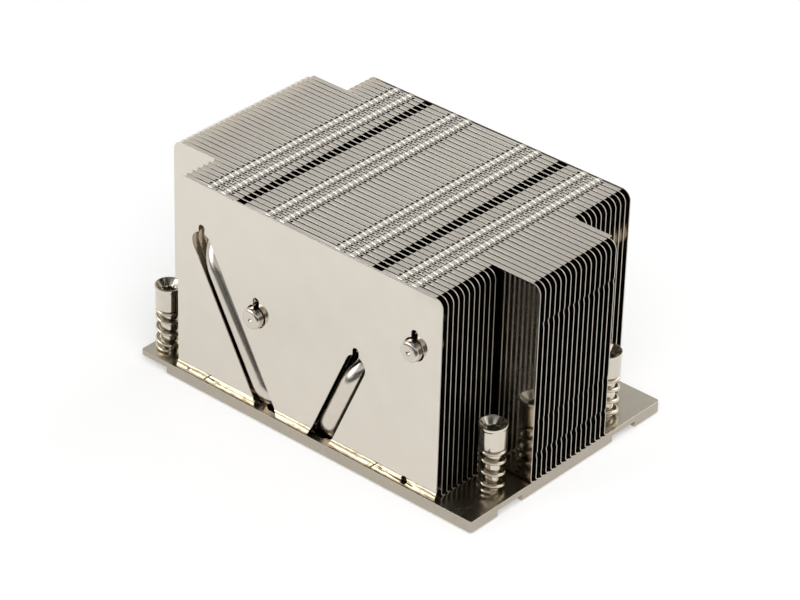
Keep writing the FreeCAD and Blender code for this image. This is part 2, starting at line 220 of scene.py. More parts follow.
def reckon(tree, operation, first, second, **options):
    """A sum, product or other operation on two outputs. Returns the output."""
    node = add_node(tree, "ShaderNodeMath", None, {0: first, 1: second}, operation=operation, **options)
    return node.outputs[0]


def new_material(name):
    """An empty node material with its tree."""
    material = bpy.data.materials.new(name)
    material.use_nodes = True
    material.node_tree.nodes.clear()
    return material, material.node_tree


def pattern_place(tree, size):
    """Object coordinates counted in steps of a size in millimetres along X, Y and Z."""
    place = add_node(tree, "ShaderNodeTexCoord")
    scale = [1 / (MM * s) for s in size]
    return add_node(tree, "ShaderNodeMapping", {"Scale": scale}, {"Vector": place.outputs["Object"]}).outputs[0]


def metal_surface(tree, colours, roughnesses, clouds, grain, depth, stain_and_shade=None, side=1.0):
    """A metal whose colour and roughness drift in clouds and whose surface has a fine grain. The foot tint is
    two colours and the height that it fades out at: flux marks and painted shade together. Side is the share of
    colour left on faces near vertical, which paints shade on them."""
    cloud = add_node(
        tree, "ShaderNodeTexNoise", {"Scale": 1.0, "Detail": 3.0, "Roughness": 0.55},
        {"Vector": pattern_place(tree, clouds)})
    tint = add_node(
        tree, "ShaderNodeMix", {6: colours[0], 7: colours[1]}, {0: cloud.outputs["Fac"]}, data_type="RGBA")
    # Foot tint, flux marks and painted shade together: straw with brown spots, fading out at the given height.
    if stain_and_shade:
        place = add_node(tree, "ShaderNodeTexCoord")
        height = add_node(tree, "ShaderNodeSeparateXYZ", links={"Vector": place.outputs["Object"]})
        fade_start, fade_end = (stain_and_shade[2] - 0.6) * MM, stain_and_shade[2] * MM
        amount = map_range(tree, height.outputs["Z"], fade_start, fade_end, 1.0, 0.0)
        spots = add_node(
            tree, "ShaderNodeTexNoise", {"Scale": 1.0, "Detail": 4.0},
            {"Vector": pattern_place(tree, (2.5, 2, 0.7))})
        spotted = map_range(tree, spots.outputs["Fac"], 0.5, 0.66, 0.0, 1.0)
        residue_and_shade = add_node(
            tree, "ShaderNodeMix", {6: stain_and_shade[0], 7: stain_and_shade[1]}, {0: spotted}, data_type="RGBA")
        tint = add_node(
            tree, "ShaderNodeMix", links={0: amount, 6: tint.outputs[2], 7: residue_and_shade.outputs[2]},
            data_type="RGBA")
    # Painted shade: faces near vertical keep only the side share of the colour, so they render darker.
    if side < 1.0:
        surface = add_node(tree, "ShaderNodeNewGeometry")
        facing = add_node(tree, "ShaderNodeSeparateXYZ", links={"Vector": surface.outputs["True Normal"]})
        flatness = add_node(tree, "ShaderNodeMath", links={0: facing.outputs["Z"]}, operation="ABSOLUTE")
        side_shade_mask = map_range(tree, flatness.outputs[0], 0.2, 0.5, 1.0, 0.0)
        tint = add_node(
            tree, "ShaderNodeMix", {7: (side, side, side, 1.0)}, {0: side_shade_mask, 6: tint.outputs[2]},
            data_type="RGBA", blend_type="MULTIPLY")
    rough = map_range(tree, cloud.outputs["Fac"], 0.3, 0.7, *roughnesses)
    lines = add_node(
        tree, "ShaderNodeTexNoise", {"Scale": 1.0, "Detail": 2.0}, {"Vector": pattern_place(tree, grain)})
    bump = add_node(
        tree, "ShaderNodeBump", {"Strength": 1.0, "Distance": depth * MM}, {"Height": lines.outputs["Fac"]})
    shader = add_node(
        tree, "ShaderNodeBsdfPrincipled", {"Metallic": 1.0},
        {"Base Color": tint.outputs[2], "Roughness": rough, "Normal": bump.outputs[0]})
    add_node(tree, "ShaderNodeOutputMaterial", links={"Surface": shader.outputs[0]})


def darker(colour, factor):
    """A colour with its light cut by a factor."""
    return [c * factor for c in colour[:3]] + [1.0]


def nickel_plated_sheet():
    """Electroless nickel on rolled aluminium sheet: a warm satin grey with faint rolling lines."""
    material, tree = new_material("nickel_plated_rolled_aluminium")
    colour = list(settings().fin_colour)
    # Clouds of a plating bath are some 9 mm wide, rolling lines 3 mm long and drawn 0.2 mm wide to show.
    # The foot is tinted straw with brown spots up to its top: partly flux marks from the solder joint, partly
    # painted shade on the foot.
    stain_and_shade = (linear("D2C5AC"), linear("9A8562"), FIN_LOW.z + 2.4)
    metal_surface(
        tree, (colour, darker(colour, 0.93)), (0.07, 0.12), (9, 9, 9), (3, 0.2, 0.2), 0.0005, stain_and_shade)
    return material


def nickel_plated_sheared_edge():
    """Nickel over sheared aluminium: the same warm grey, but dull and torn, so it catches light all round."""
    material, tree = new_material("nickel_plated_sheared_aluminium")
    colour = list(settings().fin_colour)
    # A sheared edge tears some 0.1 mm apart, drawn 0.4 mm apart to show.
    metal_surface(tree, (colour, darker(colour, 0.7)), (0.5, 0.6), (2, 2, 2), (0.4, 0.4, 0.4), 0.01)
    return material


def nickel_plated_copper_plate():
    """Nickel on a milled copper plate: smooth, nearly a mirror, with fine cutter lines, and its sides darkened
    by painted shade.
    """
    material, tree = new_material("nickel_plated_milled_copper")
    colour = list(settings().plate_colour)
    # Milling lines lie some 0.3 mm apart along the plate.
    # side=0.74 paints shade on the plate's sides.
    metal_surface(tree, (colour, darker(colour, 0.9)), (0.18, 0.3), (7, 7, 4), (0.3, 8, 1), 0.002, side=0.74)
    return material


def nickel_plated_copper_tube():
    """Nickel on drawn copper tube: bright and smooth, with long faint drawing lines."""
    material, tree = new_material("nickel_plated_drawn_copper")
    colour = list(settings().pipe_colour)
    metal_surface(tree, (colour, darker(colour, 0.92)), (0.16, 0.26), (5, 5, 5), (0.25, 5, 0.25), 0.002)
    return material


def nickel_plated_turned_steel():
    """Nickel on turned steel: bright, with tool rings round the axis."""
    material, tree = new_material("nickel_plated_turned_steel")
    colour = list(settings().screw_colour)
    # Tool rings are drawn 0.15 mm apart up the screw.
    metal_surface(tree, (colour, darker(colour, 0.9)), (0.07, 0.13), (3, 3, 3), (6, 6, 0.15), 0.002)
    return material


def nickel_plated_spring_wire():
    """Nickel on drawn spring wire: bright, with slight draw marks."""
    material, tree = new_material("nickel_plated_spring_wire")
    colour = list(settings().spring_colour)
    metal_surface(tree, (colour, darker(colour, 0.9)), (0.06, 0.12), (1.5, 1.5, 1.5), (1, 1, 0.2), 0.001)
    return material


def blanked_spring_steel():
    """Blanked and tempered spring steel: a dull darker grey with a rough edge."""
    material, tree = new_material("blanked_spring_steel")
    colour = list(settings().clip_colour)
    metal_surface(tree, (colour, darker(colour, 0.75)), (0.35, 0.5), (1.2, 1.2, 1.2), (0.3, 0.3, 0.3), 0.01)
    return material


MAKERS = {
    "plated_fins": nickel_plated_sheet,
    "cut_edges": nickel_plated_sheared_edge,
    "plated_base": nickel_plated_copper_plate,
    "plated_pipes": nickel_plated_copper_tube,
    "screws": nickel_plated_turned_steel,
    "springs": nickel_plated_spring_wire,
    "clips": blanked_spring_steel,
}
FINISHES = {}


def finish(slot):
    """The material of a slot, made once."""
    if slot not in FINISHES:
        FINISHES[slot] = MAKERS[slot]()
    return FINISHES[slot]


# Pieces

def make_piece(name, mesh, body, slot, nodes, angle):
    """Turns a mesh in millimetres into a piece that stands for CAD nodes and rides on their body."""
    mesh.transform(Matrix.Scale(MM, 4))
    mesh.polygons.foreach_set("use_smooth", [True] * len(mesh.polygons))
    mesh.set_sharp_from_angle(angle=math.radians(angle))
    mesh.materials.append(finish(slot))
    piece = bpy.data.objects.new(name, mesh)
    bpy.context.scene.collection.objects.link(piece)
    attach(piece, body)
    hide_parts(*nodes)
    return piece


def listed_mesh(name, points, faces):
    """A mesh from lists of points and faces."""
    mesh = bpy.data.meshes.new(name)
    mesh.from_pydata(points, [], faces)
    mesh.update()
    return mesh


def swept_mesh(name, rings):
    """A closed mesh over like rings of points, with flat ends."""
    count = len(rings[0])
    points = [p for ring in rings for p in ring]
    faces = [tuple(reversed(range(count)))]
    for k in range(len(rings) - 1):
        for i in range(count):
            a, b = k * count + i, k * count + (i + 1) % count
            faces.append((a, b, b + count, a + count))
    last = (len(rings) - 1) * count
    faces.append(tuple(range(last, last + count)))
    return listed_mesh(name, points, faces)


def turned_half(mesh):
    """Turns a mesh half round about the vertical axis."""
    mesh.transform(Matrix.Rotation(math.pi, 4, "Z"))
    return mesh


# Fins

class Fold:
    """The path of one fin's outer surface: foot, foot bend, web, top bend and flange. Along the web a
    place on the path is its height; below and above, the path's length counts on from there."""

    def __init__(self, index, y):
        chosen = settings()
        self.y = y
        self.front = index == 0
        self.last = index == FIN_COUNT - 1
        self.sheet = chosen.sheet / MM
        self.foot_bend = chosen.foot_bend / MM
        self.top_bend = chosen.top_bend / MM
        self.reach = FIN_PITCH - chosen.fold_gap / MM
        self.top = FIN_HIGH.z - chosen.tab_height / MM
        self.footless = self.front or self.last
        self.low = FIN_LOW.z + (SEAM_GAP if self.footless else self.foot_bend)
        self.high = self.top - (0 if self.last else self.top_bend)
        self.foot_arc = self.foot_bend * math.pi / 2
        self.top_arc = self.top_bend * math.pi / 2
        self.first = self.low - (0 if self.footless else self.foot_arc + self.reach - self.foot_bend)
        self.end = self.high + (0 if self.last else self.top_arc + self.reach - self.top_bend)

    def at(self, place):
        """Distance back from the web's face, height, and the outward direction there."""
        if self.low <= place <= self.high:
            return 0.0, place, (-1.0, 0.0)
        foot = place < self.low
        radius, length = (self.foot_bend, self.foot_arc) if foot else (self.top_bend, self.top_arc)
        past = self.low - place if foot else place - self.high
        sign = -1 if foot else 1
        edge = self.low if foot else self.high
        angle = min(past / radius, math.pi / 2)
        back = radius * (1 - math.cos(angle)) + max(past - length, 0)
        return back, edge + sign * radius * math.sin(angle), (-math.cos(angle), sign * math.sin(angle))

    def inside(self, place):
        """Distance back from the web's face and height on the inner surface, nearly sharp at its top."""
        back, z, (out_y, out_z) = self.at(place)
        thinning = self.high - THINNING
        if self.last or place < thinning:
            return back - out_y * self.sheet, z - out_z * self.sheet
        corner, under = self.sheet + INNER_RADIUS, self.top - FLANGE_SHEET - INNER_RADIUS
        if place < self.high:
            return self.sheet, ramp(z, [(thinning, thinning), (self.high, under)])
        if place < self.high + self.top_arc:
            return corner + INNER_RADIUS * out_y, under + INNER_RADIUS * out_z
        return ramp(back, [(self.top_bend, corner), (self.reach, self.reach)]), self.top - FLANGE_SHEET

    def rows(self):
        """Places where the sheet is divided so that its bends come out round."""
        rows = [self.low + 0.3, self.high - THINNING]
        if self.front:
            rows += [self.low + height for height, depth in FOOT_PROFILE] + [self.low + 2.7]
        if not self.footless:
            rows += [self.low - self.foot_arc * i / 4 for i in range(5)]
        if not self.last:
            rows += [self.high + self.top_arc * i / 4 for i in range(5)]
            rows += [self.end - inward for inward, share in TAB_PROFILE[1:]] + [self.end]
        return rows


def slot_notch(pipe, mirrored, fold):
    """Outline of the slot of a rising pipe, from the foot's edge up its left side and down its right."""
    top_x, top_z, foot_x = pipe
    rise = Vector((top_x - foot_x, top_z - FOOT_MIDDLE)).normalized()
    across = Vector((rise.y, -rise.x)) * PIPE_HOLE

    def side(sign):
        points = []
        bend = [] if fold.footless else [fold.low - fold.foot_arc, fold.low - fold.foot_arc / 2, fold.low]
        for place in [fold.first] + bend:
            z = fold.at(place)[1]
            x = foot_x + sign * across.x + rise.x * (z - FOOT_MIDDLE - sign * across.y) / rise.y
            points.append((x, place))
        return points

    start = math.degrees(math.atan2(-across.y, -across.x)) % 360
    crown = arc((top_x, top_z), PIPE_HOLE, start, 180 - LOBE_ANGLE, 10)
    crown += arc((top_x, top_z + LOBE_RISE), LOBE_RADIUS, 180, 0, 8)
    end = math.degrees(math.atan2(across.y, across.x))
    crown += arc((top_x, top_z), PIPE_HOLE, LOBE_ANGLE, end, 10)
    outline = side(-1) + crown + side(1)[::-1]
    if mirrored:
        outline = [(-x, place) for x, place in outline][::-1]
    return outline


def pipe_opening(x, z, steps):
    """Outline of the hole of a passing pipe, with the solder lobe on top."""
    outline = arc((x, z), PIPE_HOLE, 180 - LOBE_ANGLE, 360 + LOBE_ANGLE, steps)
    return outline + arc((x, z + LOBE_RISE), LOBE_RADIUS, 0, 180, max(steps // 3, 4))


def flange_edge(fold):
    """Features along the flange's free edge, as runs of points sorted by X: tabs and vents."""
    edge = fold.end
    runs = []
    for x in INTERLOCK_ROWS:
        for start, stop in TABS:
            left, right, out = x + start, x + stop, edge + TAB_REACH
            runs.append([(left, edge), (left + TAB_RAMP, out), (right - TAB_RAMP, out), (right, edge)])
    for left, right in VENTS:
        depth = fold.high + fold.top_arc + VENT_INSET
        runs.append([(left, edge), (left, depth), (right, depth), (right, edge)])
    return sorted(runs)


def fin_outline(left, right, slots, fold):
    """Outline of the flat sheet before it is folded, counted the way round that faces the front."""
    outline = [(left, fold.first)]
    for notch in sorted(slots):
        outline += notch
    outline.append((right, fold.first))
    corner = CORNER_RADIUS
    middle = fold.top - corner
    stop = math.degrees(math.asin((fold.high - middle) / corner)) if not fold.last else 90
    outline += arc((right - corner, middle), corner, 0, stop, 8)
    if not fold.last:
        outline += [(right - corner, fold.high + fold.top_arc), (right - corner, fold.end)]
        for run in reversed(flange_edge(fold)):
            outline += run[::-1]
        outline += [(left + corner, fold.end), (left + corner, fold.high + fold.top_arc)]
    outline += arc((left + corner, middle), corner, 180 - stop, 180, 8)
    return outline


def front_foot_openings(fold):
    """Openings in the foot of the front fin: a small slot, two slanted slits and a round hole."""
    low = fold.low
    openings = [arc((35.2, low + 1.15), 1.1, 0, 340, 16), arc((-41.8, low + 1.0), 0.5, 0, 324, 9)]
    for x in (-36.0, 23.9):
        openings.append([
            (x - 0.2, low + 0.15), (x + 0.3, low + 0.1), (x + 1.3, low + 1.1), (x + 3.6, low + 0.85),
            (x + 3.7, low + 1.2), (x + 1.7, low + 1.5), (x + 2.4, low + 2.1), (x + 2.0, low + 2.15)])
    return openings


def flat_sheet(outline, holes):
    """A flat mesh in X and Z inside an outline and round its holes."""
    sheet = bmesh.new()
    edges = []
    for loop in [outline] + holes:
        corners = [sheet.verts.new((x, 0, z)) for x, z in loop]
        edges += [sheet.edges.new((corners[i - 1], corners[i])) for i in range(len(corners))]
    bmesh.ops.triangle_fill(sheet, use_beauty=True, edges=edges, normal=(0, -1, 0))
    bmesh.ops.recalc_face_normals(sheet, faces=sheet.faces)
    if sheet.faces[0].normal.y > 0:
        bmesh.ops.reverse_faces(sheet, faces=sheet.faces)
    return sheet


def sheet_faces(sheet):
    """Faces of a sheet with thickness, and of its cut edges. The points of the side that its normals face
    come first, then those of the other side in the same order."""
    sheet.verts.index_update()
    count = len(sheet.verts)
    faces, cuts = [], []
    for face in sheet.faces:
        loop = [v.index for v in face.verts]
        faces.append(tuple(loop))
        faces.append(tuple(i + count for i in reversed(loop)))
        for corner in face.loops:
            if len(corner.edge.link_faces) == 1:
                a, b = corner.vert.index, corner.link_loop_next.vert.index
                cuts.append((b, a, a + count, b + count))
    return faces, cuts


def divide(sheet, point, normal, keep):
    """Divides the sheet's faces whose middle passes a test along a plane."""
    faces = [f for f in sheet.faces if keep(f)]
    parts = set(faces)
    for face in faces:
        parts.update(face.edges)
        parts.update(face.verts)
    bmesh.ops.bisect_plane(sheet, geom=list(parts), plane_co=point, plane_no=normal, dist=1e-4)


def kinks(fold):
    """Height of the lower end and depth of each kink in the ends of a long fin."""
    return ((FIN_LOW.z + 7.0, 0.36), (FIN_LOW.z + 17.2, 0.2), (fold.top - 13.0, 0.36))


def kink_depth(x, z, left, right, fold):
    """How far the end of a long fin is pushed to the front by the comb that held the stack."""
    fade = ramp(min(x - left, right - x), KINK_FADE)
    return fade * sum(size * ramp(z - start, KINK_PROFILE) for start, size in kinks(fold))


def foot_flare(x, z, fold):
    """How far the front fin's foot stands out to the front."""
    height = z - fold.low
    depth = ramp(height, FOOT_PROFILE)
    if 0 < height < 2:
        depth -= ramp(height, GROOVE_PROFILE) * ramp(x, GROOVE_DEPTHS)
    return depth


def tab_rise(x, place, fold, height):
    """How far the interlock tabs stand over the flange."""
    inward = fold.end - place
    if fold.last or inward > TAB_PROFILE[-1][0]:
        return 0.0
    along = max(
        ramp(x - row, [(start, 0), (start + TAB_RAMP, 1), (stop - TAB_RAMP, 1), (stop, 0)])
        for row in INTERLOCK_ROWS for start, stop in TABS)
    return height * along * ramp(inward, TAB_PROFILE)


def fold_sheet(name, sheet, fold, ends, kinked):
    """Folds the flat sheet and gives it its thickness."""
    height = settings().tab_height / MM
    outer, inner = [], []
    for vert in sheet.verts:
        x, place = vert.co.x, vert.co.z
        back, z, outward = fold.at(place)
        inside_back, inside_z = fold.inside(place)
        y = fold.y
        if kinked and fold.low <= place <= fold.high:
            y -= kink_depth(x, place, *ends, fold)
        if fold.front and place < fold.low + 3:
            y -= foot_flare(x, place, fold)
        rise = tab_rise(x, place, fold, height)
        outer.append((x, y + back, z + rise))
        inner.append((x, y + inside_back, inside_z + rise))
    faces, cuts = sheet_faces(sheet)
    sheet.free()
    mesh = listed_mesh(name, outer + inner, faces + cuts)
    mesh.polygons.foreach_set("material_index", [0] * len(faces) + [1] * len(cuts))
    return mesh


def pipe_cuts(fold):
    """Outlines of the slots of the pipes that rise through a fin and of the holes of those that pass it."""
    limit = RISER_INSET + PIPE_BEND + 0.4
    front = fold.y - FIN_LOW.y < limit
    back = STACK_HIGH_Y - fold.y - FIN_PITCH < limit
    slots, holes = [], []
    steps = 32 if fold.footless else 16
    for route in PIPES.values():
        x, z = route[:2]
        for mirrored, rises in ((False, front), (True, back)):
            if rises:
                slots.append(slot_notch(route, mirrored, fold))
            else:
                holes.append(pipe_opening(-x if mirrored else x, z, steps))
    return slots, holes


def flange_holes(fold):
    """Outlines of the small holes in the flange. The front fin has the middle ones only."""
    edge = fold.high + fold.top_arc
    holes = []
    for row in INTERLOCK_ROWS:
        offset, inset, radius = MIDDLE_DOT
        holes.append(arc((row + offset, edge + inset), radius, 0, 315, 7))
        if not fold.front:
            for offset, radius in SEAM_DOTS:
                holes.append(arc((row + offset, edge + radius * SEAM_DOT_INSET), radius, 0, 330, 11))
    return holes


def divide_sheet(sheet, fold):
    """Divides the sheet where its bends, the groove of the front foot and the tabs need points."""
    for place in fold.rows():
        divide(sheet, (0, 0, place), (0, 0, 1), lambda face: True)
    if fold.front:
        for x, depth in GROOVE_DEPTHS:
            divide(sheet, (x, 0, 0), (1, 0, 0), lambda face: face.calc_center_median().z < fold.low + 2.3)
    if fold.last:
        return
    flange = fold.end - TAB_PROFILE[-1][0]
    for row in INTERLOCK_ROWS:
        for start, stop in TABS:
            for x in (start, start + TAB_RAMP, stop - TAB_RAMP, stop):
                divide(sheet, (row + x, 0, 0), (1, 0, 0), lambda face: face.calc_center_median().z > flange)


def divide_ends(sheet, fold, left, right):
    """Divides both ends of a long fin where its kinks need points."""
    for x, side in ((left, -1), (right, 1)):
        for inset in KINK_INSETS:
            divide(sheet, (x - side * inset, 0, 0), (1, 0, 0), lambda face: True)
        for start, size in kinks(fold):
            for rise, share in KINK_PROFILE:
                divide(
                    sheet, (0, 0, start + rise), (0, 0, 1),
                    lambda face: side * (face.calc_center_median().x - x) > -1.0)


def make_fin(index):
    """One folded fin with its slots, pipe holes, vents, interlocks and kinked ends."""
    node = "fin_{:02d}".format(index + 1)
    low, high = cad_box(node)
    fold = Fold(index, low.y)
    slots, holes = pipe_cuts(fold)
    if fold.front:
        holes += front_foot_openings(fold)
    if not fold.last:
        holes += flange_holes(fold)
    sheet = flat_sheet(fin_outline(low.x, high.x, slots, fold), holes)
    divide_sheet(sheet, fold)
    # The first long fin stayed straight: only those with a long one in front of them are kinked.
    kinked = index > 0 and min(high.x, cad_box("fin_{:02d}".format(index))[1].x) > FIN_HIGH.x + 1
    if kinked:
        divide_ends(sheet, fold, low.x, high.x)
    mesh = fold_sheet("folded_" + node, sheet, fold, (low.x, high.x), kinked)
    piece = make_piece("folded_" + node, mesh, "heatsink", "plated_fins", [node], 40)
    piece.data.materials.append(finish("cut_edges"))


class HEATSINK_OT_fins(bpy.types.Operator):
    """Folds the 38 fins of the stack"""

    bl_idname = "heatsink.fins"
    bl_label = "Fold the fins"

    def execute(self, context):
        for index in range(FIN_COUNT):
            make_fin(index)
        return {"FINISHED"}


# Base plate

class HEATSINK_OT_base(bpy.types.Operator):
    """Makes the base plate with its edges broken"""

    bl_idname = "heatsink.base"
    bl_label = "Make the base plate"

    def execute(self, context):
        plate = bmesh.new()
        plate.from_mesh(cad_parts["base_plate"].data)
        plate.transform(Matrix.Scale(1 / MM, 4))
        bmesh.ops.remove_doubles(plate, verts=plate.verts, dist=0.005)
        bmesh.ops.dissolve_limit(
            plate, angle_limit=math.radians(1), verts=plate.verts, edges=plate.edges)
        sharp = [e for e in plate.edges if len(e.link_faces) == 2 and e.calc_face_angle() > math.radians(50)]
        bmesh.ops.bevel(
            plate, geom=sharp, offset=settings().edge_bevel / MM, segments=2, affect="EDGES", profile=0.5,
            clamp_overlap=True)
        mesh = bpy.data.meshes.new("bevelled_base")
        plate.to_mesh(mesh)
        plate.free()
        make_piece("bevelled_base", mesh, "heatsink", "plated_base", ["base_plate"], 15)
        return {"FINISHED"}


# Heat pipes

# A pipe's two ends: distance in from the end and share of the pipe's width there.
TIP_PROFILE = (
    (0.5, 0.04), (0.42, 0.1), (0.15, 0.17), (0.02, 0.24), (0.0, 0.32), (0.0, 0.68), (0.06, 0.8), (0.25, 0.91),
    (0.55, 0.98), (0.95, 1.0))
FOOT_END_PROFILE = ((1.0, 1.0), (0.3, 0.8), (0.0, 0.4))


def pipe_path(top_x, top_z, foot_x):
    """Points of a pipe's middle line with its direction there and how far it is pressed flat."""
    front = FIN_LOW.y + RISER_INSET
    upper, lower = Vector((top_x, front, top_z)), Vector((foot_x, front, FOOT_MIDDLE))
    down = (lower - upper).normalized()
    forward = Vector((0, -1, 0))
    steps = 14
    path = []
    for corner, before, after, flat in ((upper, forward, down, False), (lower, down, -forward, True)):
        for i in range(steps + 1):
            angle = math.pi / 2 * i / steps
            along = before * math.sin(angle) * PIPE_BEND
            point = corner - before * PIPE_BEND + along + after * PIPE_BEND * (1 - math.cos(angle))
            direction = before * math.cos(angle) + after * math.sin(angle)
            path.append((point, direction, i / steps if flat else 0.0))
    return path, down


def pipe_ring(point, direction, flat, aside, scale, tilt):
    """Ring of points round a pipe, round or pressed flat."""
    across = Matrix.Rotation(tilt * flat, 3, direction) @ aside
    up = direction.cross(across)
    ring = []
    for i in range(40):
        angle = 2 * math.pi * i / 40
        c, s = math.cos(angle), math.sin(angle)
        wide = PIPE_RADIUS + flat * (FLAT_WIDTH / 2 - PIPE_RADIUS)
        thick = PIPE_RADIUS + flat * (FLAT_HEIGHT / 2 - PIPE_RADIUS)
        power = 1 - 0.55 * flat
        x = math.copysign(abs(c) ** power, c) * wide * scale
        y = math.copysign(abs(s) ** power, s) * thick * scale
        ring.append(point + across * x + up * y)
    return ring


def pipe_rings(top_x, top_z, foot_x):
    """Rings of a pipe from its tip, with rounded rim and dimple, to the closed end of its flat foot."""
    path, down = pipe_path(top_x, top_z, foot_x)
    backward = Vector((0, 1, 0))
    aside = backward.cross(down)
    tilt = math.atan2(foot_x - top_x, top_z - FOOT_MIDDLE)
    tip_y = cad_box("heat_pipe_front_outer")[1].y
    tip = Vector((top_x, tip_y, top_z))
    rings = []
    for depth, scale in TIP_PROFILE:
        rings.append(pipe_ring(tip - backward * depth, -backward, 0, aside, scale, 0))
    for point, direction, flat in path:
        rings.append(pipe_ring(point, direction, flat, aside, 1.0, tilt))
    end = Vector((foot_x, FLAT_REACH, FOOT_MIDDLE))
    for depth, scale in FOOT_END_PROFILE:
        rings.append(pipe_ring(end - backward * depth, backward, 1.0, aside, scale, tilt))
    return rings


class HEATSINK_OT_pipes(bpy.types.Operator):
    """Bends the four heat pipes"""

    bl_idname = "heatsink.pipes"
    bl_label = "Bend the heat pipes"

    def execute(self, context):
        for name, route in PIPES.items():
            for end, half_turn in (("front", False), ("back", True)):
                mesh = swept_mesh("pipe_" + end + "_" + name, pipe_rings(*route))
                if half_turn:
                    turned_half(mesh)
                make_piece(
                    "pipe_" + end + "_" + name, mesh, "heatsink", "plated_pipes",
                    ["heat_pipe_" + end + "_" + name], 50)
        return {"FINISHED"}


# Captive screws, springs and clips

# A screw's outside: radius by height over the floor, and from the head's rim on by height under its top.
SHANK_PROFILE = (
    (1.5, 1.66), (1.5, 2.24), (2.15, 2.25), (2.25, 2.35), (2.25, 9.6), (2.5, 9.75), (2.5, 17.19), (3.5, 17.2),
    (3.66, 17.26), (3.7, 17.4))
HEAD_PROFILE = (
    (3.7, 1.3), (3.72, 1.15), (3.82, 0.9), (3.88, 0.75), (3.88, 0.15), (3.84, 0.03), (3.76, 0.0), (3.62, 0.0),
    (3.5, 0.05), (3.42, 0.15), (2.1, 1.5))
# The lobed socket: radius, depth under the top and how far its lobes swell, as a share of the radius.
SOCKET_PROFILE = (
    (1.9, 1.7, 0.06), (1.72, 1.85, 0.13), (1.7, 2.0, 0.14), (1.68, 4.6, 0.14), (1.2, 4.8, 0.05), (0.2, 4.9, 0))
THREAD_PITCH = 0.7
THREAD_CORE = 1.62
THREAD_DEPTH = 0.36
THREAD_TOP = 1.65

# A spring: active turns, the parts of a turn that lie closed at its low and high end, the rise of a closed
# turn in wires, the angle where it starts and its outer radius.
SPRING_TURNS = 2.9
SPRING_LOW_END = 0.75
SPRING_HIGH_END = 0.6
SPRING_CLOSED = 1.04
SPRING_START = -0.86
SPRING_RADIUS = 3.75

CLIP_RADIUS = 3.3
CLIP_BORE = 1.56
CLIP_MOUTH = 2.4


def axis_of(place):
    """The axis of a captive screw."""
    low, high = cad_box("screw_" + place)
    return Vector(((low.x + high.x) / 2, (low.y + high.y) / 2, 0))


def lobed_ring(radius, z, lobes, sides):
    """Level ring whose radius swells in six lobes."""
    ring = []
    for i in range(sides):
        angle = 2 * math.pi * i / sides
        reach = radius * (1 + lobes * math.cos(6 * angle))
        ring.append(Vector((reach * math.cos(angle), reach * math.sin(angle), z)))
    return ring


def thread_ring(z, low, high, sides):
    """Ring through a thread that fades at both ends."""
    ring = []
    for i in range(sides):
        turn = i / sides
        phase = (z / THREAD_PITCH - turn) % 1.0
        crest = 1 - abs(2 * phase - 1)
        fade = min(1, (z - low) / 0.3, (high - z) / 0.2)
        radius = THREAD_CORE + THREAD_DEPTH * crest * max(fade, 0)
        ring.append(Vector((radius * math.cos(2 * math.pi * turn), radius * math.sin(2 * math.pi * turn), z)))
    return ring


def screw_rings(low, high):
    """Rings of a captive screw from its tip up over the rim and down into its socket."""
    sides = 96
    rings = [lobed_ring(1.3, low, 0, sides)]
    rings += [thread_ring(low + 0.12 + i * THREAD_PITCH / 8, low, THREAD_TOP, sides) for i in range(13)]
    rings += [lobed_ring(radius, z, 0, sides) for radius, z in SHANK_PROFILE]
    rings += [lobed_ring(radius, high - depth, 0, sides) for radius, depth in HEAD_PROFILE]
    rings += [lobed_ring(radius, high - depth, lobes, sides) for radius, depth, lobes in SOCKET_PROFILE]
    return rings


def spring_rings(low, high):
    """Rings along the wire of a left-hand spring with part of a turn closed at each end."""
    wire = settings().wire / MM
    radius = SPRING_RADIUS - wire / 2
    first, last = low + wire / 2, high - wire / 2
    pitch = (last - first - wire * SPRING_CLOSED * (SPRING_LOW_END + SPRING_HIGH_END)) / SPRING_TURNS
    steps = 36
    rings = []
    count = round((SPRING_TURNS + SPRING_LOW_END + SPRING_HIGH_END) * steps)
    for i in range(count + 1):
        turn = i / steps
        active = min(max(turn - SPRING_LOW_END, 0), SPRING_TURNS)
        z = first + active * pitch + (turn - active) * wire * SPRING_CLOSED
        angle = SPRING_START - 2 * math.pi * turn
        out = Vector((math.cos(angle), math.sin(angle), 0))
        centre = out * radius + Vector((0, 0, z))
        half = wire / 2 * (0.7 if i in (0, count) else 1.0)
        ring = []
        for k in range(12):
            around = 2 * math.pi * k / 12
            ring.append(centre + out * half * math.cos(around) + Vector((0, 0, half * math.sin(around))))
        rings.append(ring)
    return rings


class HEATSINK_OT_screws(bpy.types.Operator):
    """Turns the four captive screws"""

    bl_idname = "heatsink.screws"
    bl_label = "Turn the screws"

    def execute(self, context):
        for place in PLACES:
            low, high = cad_box("screw_" + place)
            mesh = swept_mesh("turned_screw_" + place, screw_rings(low.z, high.z))
            mesh.transform(Matrix.Translation(axis_of(place)))
            make_piece(
                "turned_screw_" + place, mesh, "captive_screw_" + place, "screws", ["screw_" + place], 35)
        return {"FINISHED"}


class HEATSINK_OT_springs(bpy.types.Operator):
    """Winds the four springs"""

    bl_idname = "heatsink.springs"
    bl_label = "Wind the springs"

    def execute(self, context):
        for place in PLACES:
            low, high = cad_box("spring_" + place)
            mesh = swept_mesh("wound_spring_" + place, spring_rings(low.z, high.z))
            mesh.transform(Matrix.Translation(axis_of(place)))
            spring = make_piece(
                "wound_spring_" + place, mesh, "heatsink", "springs", ["spring_" + place], 60)
            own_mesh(spring)
        return {"FINISHED"}


